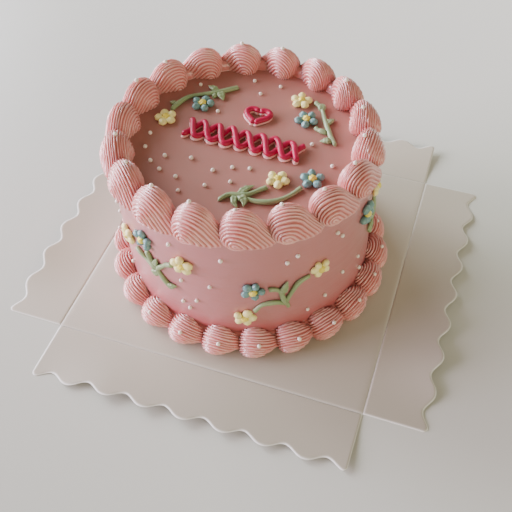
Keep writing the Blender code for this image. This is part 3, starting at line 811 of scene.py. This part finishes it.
# The sprays: stems and leaves of sage green icing, piped through a small round nozzle. A stem
# is one drawn line, and a leaf is a dab that was pulled off to a point.
STEM_WIDTH = 2.1 * MM
STEM_HEIGHT = 1.7 * MM
STEM_STEP = 0.7 * MM
STEM_END = 0.9 * MM
STEM_SWELL = 0.13
STEM_WOBBLE = 0.22 * MM
LEAF_WIDTH = 3.2 * MM
LEAF_HEIGHT = 2.0 * MM
LEAF_STEP = 0.4 * MM
LEAF_FOOT = 0.14
LEAF_RUN = 0.85
LEAF_LEAN = 0.75
LEAF_FULLNESS = 0.9
LEAF_LEAST = 0.02
LEAF_SWELL = 0.12
LEAF_RIPPLE = 0.07
LEAF_LIFT = 0.6 * MM
LEAF_CREASE = 0.24
CREASE_SPREAD = 0.28
LINE_COLUMNS = 18
LINE_MIDDLE = 0.46
LINE_SINK = 0.05 * MM
LEAST_TAPER = 0.06
SAGE = (0.228, 0.303, 0.144)
SAGE_PALE = (0.306, 0.392, 0.208)
SAGE_ROUGHNESS = 0.32
SMALL_GLOW = {
    "Subsurface Weight": 0.15, "Subsurface Radius": (0.8, 0.9, 0.5), "Subsurface Scale": 0.0012,
}
PIPED_HOLE_STRENGTH = 0.5

# Places are in millimetres: from the middle of the top, or along the side from the spray's
# own direction and up from the table.
TOP_SPRAYS = [
    {
        "flowers": [("yellow", -36.8, 3.6), ("blue", -25.0, 17.2)],
        "stems": [
            [(-13.6, 33.0), (-21.0, 27.4), (-32.8, 19.8), (-36.6, 9.4)],
            [(-22.6, 22.8), (-21.5, 25.6)],
        ],
        "leaves": [
            [(-21.6, 27.4), (-27.4, 30.2)],
            [(-20.6, 27.2), (-17.2, 22.4)],
            [(-35.8, 13.4), (-39.6, 14.6)],
        ],
    },
    {
        "flowers": [("yellow", 16.0, 32.2), ("blue", 21.5, 20.8)],
        "stems": [
            [(21.4, 33.6), (26.4, 29.4), (31.2, 18.6), (37.8, 9.3)],
            [(26.4, 17.6), (29.0, 15.8), (32.4, 15.6)],
        ],
        "leaves": [
            [(26.2, 29.0), (25.0, 33.4)],
            [(30.4, 21.0), (33.0, 25.2)],
            [(35.2, 11.2), (30.6, 9.6)],
        ],
    },
    {
        "flowers": [("yellow", 20.9, -17.6), ("blue", 34.0, -13.2)],
        "stems": [
            [(1.7, -35.0), (5.2, -31.4), (10.6, -29.6), (18.4, -22.6)],
            [(9.6, -30.6), (17.5, -31.4), (24.4, -28.2), (31.4, -18.6)],
        ],
        "leaves": [
            [(8.6, -30.4), (10.6, -26.0), (13.0, -23.2)],
            [(7.6, -30.0), (8.2, -34.0), (10.6, -36.8)],
            [(8.8, -30.4), (11.8, -32.4), (12.6, -35.4)],
        ],
    },
]
SIDE_SPRAYS = [
    {
        "angle": -112.0,
        "flowers": [("yellow", -18.2, 43.2), ("blue", -4.6, 52.4), ("yellow", 14.8, 49.2)],
        "stems": [
            [(-4.0, 45.8), (-1.0, 39.6), (3.0, 33.6), (7.0, 29.4)],
            [(-12.2, 40.8), (-7.2, 40.0), (0.2, 36.8)],
            [(1.0, 37.6), (5.4, 43.6), (10.2, 46.4)],
        ],
        "leaves": [
            [(-0.4, 38.8), (1.4, 44.6)],
            [(1.4, 36.0), (-4.0, 32.4)],
            [(5.2, 30.2), (10.0, 32.4)],
        ],
    },
    {
        "angle": -55.0,
        "flowers": [("blue", -12.8, 38.4), ("yellow", -16.8, 20.8), ("yellow", 16.2, 42.4)],
        "stems": [
            [(-6.4, 38.8), (-2.6, 37.2), (0.0, 30.0), (1.8, 23.8)],
            [(-13.2, 24.4), (-9.4, 28.4), (-3.6, 29.0), (1.0, 26.8)],
            [(0.8, 28.0), (3.8, 35.0), (7.4, 39.2), (11.6, 40.6)],
        ],
        "leaves": [
            [(-1.2, 34.4), (1.6, 41.4)],
        ],
    },
    {
        "angle": 2.0,
        "flowers": [("blue", -11.0, 52.4), ("yellow", 3.4, 54.6), ("yellow", 16.6, 44.0)],
        "stems": [
            [(3.0, 48.6), (2.0, 42.0), (-0.6, 36.0), (-1.6, 30.0)],
            [(-7.6, 48.2), (-4.0, 42.6), (0.4, 38.4)],
            [(0.6, 37.0), (6.0, 41.4), (12.2, 42.8)],
        ],
        "leaves": [
            [(0.2, 37.6), (-5.6, 35.2)],
            [(-1.0, 33.4), (3.6, 30.4)],
        ],
    },
]


def smooth_path(points, step):
    """A curve through points: each stretch is a cubic with slopes from its neighbours."""
    points = np.array(points, dtype=float)
    padded = np.concatenate([2 * points[:1] - points[1:2], points, 2 * points[-1:] - points[-2:-1]])
    path = []
    for index in range(len(points) - 1):
        before, start, end, after = padded[index:index + 4]
        count = max(3, round(float(np.linalg.norm(end - start)) / step))
        share = np.linspace(0, 1, count, endpoint=False)[:, None]
        blend = 3 * share ** 2 - 2 * share ** 3
        slope_in = (end - before) / 2 * share * (1 - share) ** 2
        slope_out = (after - start) / 2 * share ** 2 * (share - 1)
        path.append(start + (end - start) * blend + slope_in + slope_out)
    return np.concatenate(path + [points[-1:]])


def piped_line(path, half_width, height, place, lift=0.0, crease=0.0):
    """A line of icing along a path on a surface. Its section is an ellipse that is cut flat
    where it sinks into the surface, so its sides overhang a little. A crease is the share of
    the height by which a bell curve dents the middle of its back."""
    half_width = np.broadcast_to(half_width, len(path))[:, None]
    height = np.broadcast_to(height, len(path))[:, None]
    lift = np.broadcast_to(lift, len(path))[:, None]
    run = np.gradient(path, axis=0)
    run = run / np.linalg.norm(run, axis=1)[:, None]
    turn = np.linspace(0, 2 * math.pi, LINE_COLUMNS, endpoint=False)[None, :]
    across = half_width * np.cos(turn)
    dent = crease * np.exp(-(np.cos(turn) / CREASE_SPREAD) ** 2) * (np.sin(turn) > 0)
    rise = height * (LINE_MIDDLE + (1 - LINE_MIDDLE) * np.sin(turn) - dent)
    x = path[:, :1] - run[:, 1:] * across
    y = path[:, 1:] + run[:, :1] * across
    return place(x, y, np.maximum(rise, -LINE_SINK) + lift)


def taper(path, end_length):
    """A share of full size along a path: a quarter circle's height over each end's length."""
    steps = np.linalg.norm(np.diff(path, axis=0), axis=1)
    run = np.concatenate([[0], np.cumsum(steps)])
    first = np.clip(run / end_length, 0, 1)
    last = np.clip((run[-1] - run) / end_length, 0, 1)
    return np.maximum(np.sqrt(1 - (1 - first) ** 2) * np.sqrt(1 - (1 - last) ** 2), LEAST_TAPER)


def stem(points, place, number):
    """A stem with round ends, whose width and way wander a little in sines of the way along."""
    path = smooth_path(np.array(points) * MM, STEM_STEP)
    share = np.linspace(0, 1, len(path))
    size = taper(path, STEM_END) * (1 + STEM_SWELL * np.sin(9 * share + 2.1 * number))
    wobble = np.stack([np.sin(11 * share + number), np.cos(8 * share + 2 * number)], axis=-1)
    path = path + STEM_WOBBLE * wobble
    return piped_line(path, STEM_WIDTH / 2 * size, STEM_HEIGHT * size, place)


def leaf(points, place, number):
    """A leaf: full and round near its foot, then drawn out to a point that lifts off. Its size
    is a sine, which starts a little above zero and leans towards the foot."""
    path = smooth_path(np.array(points) * MM, LEAF_STEP)
    share = np.linspace(0, 1, len(path))
    size = np.sin(math.pi * (LEAF_FOOT + LEAF_RUN * share ** LEAF_LEAN)) ** LEAF_FULLNESS
    size = size + LEAF_LEAST
    size = size * (1 + LEAF_SWELL * math.sin(1.7 * number) + LEAF_RIPPLE * np.sin(23 * share))
    lift = LEAF_LIFT * share ** 2
    return piped_line(path, LEAF_WIDTH / 2 * size, LEAF_HEIGHT * size, place, lift, LEAF_CREASE)


def piped_icing(name, colour, pale, roughness, glow, hole_depth=0.2 * MM):
    """Piped buttercream in one colour, with its tint and its air holes."""
    constants = {**glow, "Roughness": roughness}
    material, inputs, tint, holes = buttercream(name, colour, pale, constants)
    connect(tint, inputs["Base Color"])
    connect(bumpy(holes, hole_depth, PIPED_HOLE_STRENGTH), inputs["Normal"])
    return material


spray_places = [(layout, on_top) for layout in TOP_SPRAYS]
for degrees, _ in SIDE_REPEATS:
    spray_places += [(layout, on_side(layout["angle"] + degrees)) for layout in SIDE_SPRAYS]
spray_grids = []
for number, (layout, place) in enumerate(spray_places):
    for order, points in enumerate(layout["stems"]):
        spray_grids.append(stem(points, place, number + 3 * order))
    for order, points in enumerate(layout["leaves"]):
        spray_grids.append(leaf(points, place, number + 5 * order))
sage_paint = piped_icing("green_icing", SAGE, SAGE_PALE, SAGE_ROUGHNESS, SMALL_GLOW)
sprays = closed_mesh("green_sprays", spray_grids, sage_paint)
spray_nodes = ["top_spray_%d" % number for number in range(1, 4)]
spray_nodes += ["side_spray_%d" % number for number in range(1, 7)]
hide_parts(*spray_nodes)
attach(sprays, "cake")


# The flowers: five round petals of icing dabbed in a ring, cream yellow or dusty blue, with a
# ball of a deeper yellow pressed into the middle.
FLOWER_WIDTH = {"yellow": 9.6 * MM, "blue": 10.6 * MM}
FLOWER_TURN = 0.4
PETALS = 5
PETAL_SHARE = 0.36
PETAL_STRETCH = 1.10
PETAL_INSET = 1.08
PETAL_HEIGHT = 2.5 * MM
PETAL_LUMPS = 0.045
PETAL_TIP = {"yellow": 0.25 * MM, "blue": 0.4 * MM}
UNEVEN_PETALS = {"top": 0.12, "side": 0.2}
UNEVEN_TURN = 1.2
UNEVEN_REACH = 0.8
UNEVEN_HEIGHT = 0.12
MIDDLE_RADIUS = 1.6 * MM
MIDDLE_HEIGHT = 3.0 * MM
MIDDLE_LUMPS = 0.12
UNEVEN_MIDDLE = 0.06
DAB_ROWS = 14
DAB_COLUMNS = 24
DAB_POLE_GAP = 0.05
DAB_MIDDLE = 0.44
TIP_PLACE = 0.35
TIP_SPREAD = 0.10
CREAM = (0.85, 0.745, 0.28)
CREAM_PALE = (0.91, 0.84, 0.40)
DUSTY_BLUE = (0.112, 0.236, 0.228)
DUSTY_BLUE_PALE = (0.185, 0.328, 0.316)
PETAL_ROUGHNESS = 0.30
DEEP_YELLOW = (0.80, 0.66, 0.08)
DEEP_YELLOW_PALE = (0.84, 0.70, 0.14)
MIDDLE_ROUGHNESS = 0.34


def dab(x, y, turn, shape, place, lumps, tip, seed):
    """A round dab of icing on a surface, from its half length, half width and height: a ball
    that is longer one way, cut flat below. Waves round it and down it give it lumps, and a bell
    curve at its outer end is a pulled-up tip."""
    length, width, height = shape
    down = np.linspace(DAB_POLE_GAP, math.pi - DAB_POLE_GAP, DAB_ROWS)[:, None]
    around = np.linspace(0, 2 * math.pi, DAB_COLUMNS, endpoint=False)[None, :]
    swell = 1 + lumps * np.sin(5 * around + 4 * down + seed) * np.sin(down)
    along = length * swell * np.sin(down) * np.cos(around)
    across = width * swell * np.sin(down) * np.sin(around)
    off_tip = (along / length - TIP_PLACE) ** 2 + (across / width) ** 2
    peak = tip * np.exp(-off_tip / TIP_SPREAD) * (down < math.pi / 2)
    rise = height * (DAB_MIDDLE + (1 - DAB_MIDDLE) * swell * np.cos(down))
    along, across = turned(along, across, turn)
    return place(x + along, y + across, np.maximum(rise, -LINE_SINK) + peak)


petals = {"yellow": [], "blue": []}
flower_nodes = {"yellow": [], "blue": []}
middles = []
counts = {"top": 0, "side": 0}
for layout, place in spray_places:
    part = "top" if place is on_top else "side"
    loose = UNEVEN_PETALS[part]
    for colour, x, y in layout["flowers"]:
        counts[part] += 1
        count = counts[part]
        flower_nodes[colour].append("%s_flower_%d" % (part, count))
        radius = FLOWER_WIDTH[colour] / 2
        for order in range(PETALS):
            seed = order + 7 * count
            turn = FLOWER_TURN * count + 2 * math.pi * (order + 0.5) / PETALS
            turn = turn + UNEVEN_TURN * loose * uneven(seed, "petal turn")
            inset = PETAL_INSET + UNEVEN_REACH * loose * uneven(seed, "petal reach")
            away = radius - PETAL_SHARE * radius * inset
            size = PETAL_SHARE * radius * (1 + loose * uneven(seed, "petal size"))
            height = PETAL_HEIGHT * (1 + UNEVEN_HEIGHT * uneven(seed, "petal height"))
            petals[colour].append(dab(
                x * MM + away * math.cos(turn), y * MM + away * math.sin(turn), turn,
                (PETAL_STRETCH * size, size, height), place, PETAL_LUMPS, PETAL_TIP[colour], seed,
            ))
        size = MIDDLE_RADIUS * (1 + UNEVEN_MIDDLE * uneven(count, "middle size"))
        shape = (size, size, MIDDLE_HEIGHT)
        middles.append(dab(x * MM, y * MM, count, shape, place, MIDDLE_LUMPS, 0.0, count))

cream_paint = piped_icing("yellow_icing", CREAM, CREAM_PALE, PETAL_ROUGHNESS, SMALL_GLOW)
blue_paint = piped_icing("blue_icing", DUSTY_BLUE, DUSTY_BLUE_PALE, PETAL_ROUGHNESS, SMALL_GLOW)
deep_paint = piped_icing(
    "deep_yellow_icing", DEEP_YELLOW, DEEP_YELLOW_PALE, MIDDLE_ROUGHNESS, SMALL_GLOW,
)
yellow_petals = closed_mesh("yellow_petals", petals["yellow"], cream_paint)
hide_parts(*flower_nodes["yellow"])
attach(yellow_petals, "cake")
blue_petals = closed_mesh("blue_petals", petals["blue"], blue_paint)
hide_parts(*flower_nodes["blue"])
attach(blue_petals, "cake")
centre_balls = closed_mesh("flower_centres", middles, deep_paint)
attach(centre_balls, "cake")


# The braid and the heart: magenta icing piped over a first line of pale pink, which shows
# along their lower side. The braid's two strands pass over and under each other.
BRAID_LENGTH = 52 * MM
BRAID_SWING = 4.7 * MM
BRAID_WAVES = 4
BRAID_SAMPLES = 32
BRAID_TURN = math.radians(-1.5)
BRAID_LIFT = 0.35 * MM
CROSSING_LIFT = 0.45 * MM
LINE_WIDTH = 2.6 * MM
LINE_HEIGHT = 2.0 * MM
LINE_END = 1.1 * MM
LINE_WOBBLE = 0.22 * MM
LINE_SWELL = 0.05
LINE_SWELL_TURN = 70
HEART_MIDDLE = np.array((0.8, 16.6)) * MM
HEART_HALF_WIDTH = 5.2 * MM
HEART_FIRST_ANGLE = 0.35
HEART_LAST_ANGLE = math.pi - 0.3
HEART_SAMPLES = 48
HEART_LIFT = 0.45 * MM
UNDER_SHIFT = np.array((-0.1, -0.6)) * MM
UNDER_HEIGHT_SHARE = 0.5
MAGENTA = (0.36, 0.003, 0.040)
MAGENTA_PALE = (0.44, 0.007, 0.065)
MAGENTA_ROUGHNESS = 0.36
MAGENTA_GLOW = {
    "Specular IOR Level": 0.32, "Subsurface Weight": 0.08, "Subsurface Radius": (1.0, 0.1, 0.2),
    "Subsurface Scale": 0.0012,
}
MAGENTA_HOLE_DEPTH = 0.15 * MM
UNDER_PINK = (0.80, 0.34, 0.34)
UNDER_ROUGHNESS = 0.42


def heart_half(side):
    """Half a heart's outline: across it is a sine cubed of the turn, and up it is a sum of four
    cosines. The 16 brings both to the heart's half width."""
    turn = np.linspace(HEART_FIRST_ANGLE, HEART_LAST_ANGLE, HEART_SAMPLES)
    x = 16 * np.sin(turn) ** 3
    y = 13 * np.cos(turn) - 5 * np.cos(2 * turn) - 2 * np.cos(3 * turn) - np.cos(4 * turn)
    return np.stack([side * x, y], axis=-1) / 16 * HEART_HALF_WIDTH + HEART_MIDDLE


def double_line(path, swell, lift):
    """A line of magenta icing, and the lower pale one that was piped before it."""
    size = taper(path, LINE_END) * (1 + swell)
    half_width = LINE_WIDTH / 2 * size
    height = LINE_HEIGHT * size
    upper = piped_line(path, half_width, height, on_top, lift)
    return upper, piped_line(path + UNDER_SHIFT, half_width, UNDER_HEIGHT_SHARE * height, on_top)


magenta_grids = []
heart_grids = []
under_grids = []
share = np.linspace(0, 1, BRAID_WAVES * BRAID_SAMPLES + 1)
phase = 2 * math.pi * BRAID_WAVES * share
for side in (1, -1):
    x, y = turned((share - 0.5) * BRAID_LENGTH, side * BRAID_SWING * np.cos(phase), BRAID_TURN)
    wobble = np.stack([np.sin(31 * share + side), np.sin(43 * share + 2 * side)], axis=-1)
    path = np.stack([x, y], axis=-1) + LINE_WOBBLE * wobble
    lift = CROSSING_LIFT * (1 + side * np.sin(phase)) + BRAID_LIFT
    upper, under = double_line(path, LINE_SWELL * np.sin(LINE_SWELL_TURN * share), lift)
    magenta_grids.append(upper)
    under_grids.append(under)
for side in (1, -1):
    upper, under = double_line(heart_half(side), 0.0, HEART_LIFT)
    heart_grids.append(upper)
    under_grids.append(under)
magenta_paint = piped_icing(
    "hot_pink_icing", MAGENTA, MAGENTA_PALE, MAGENTA_ROUGHNESS, MAGENTA_GLOW, MAGENTA_HOLE_DEPTH,
)
under_paint = piped_icing("under_pink_icing", UNDER_PINK, SHELL_PALE, UNDER_ROUGHNESS, GLOW)
braid = closed_mesh("magenta_braid", magenta_grids, magenta_paint)
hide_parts("braid")
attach(braid, "cake")
heart = closed_mesh("magenta_heart", heart_grids, magenta_paint)
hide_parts("heart")
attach(heart, "cake")
under_lines = closed_mesh("pale_under_lines", under_grids, under_paint)
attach(under_lines, "cake")
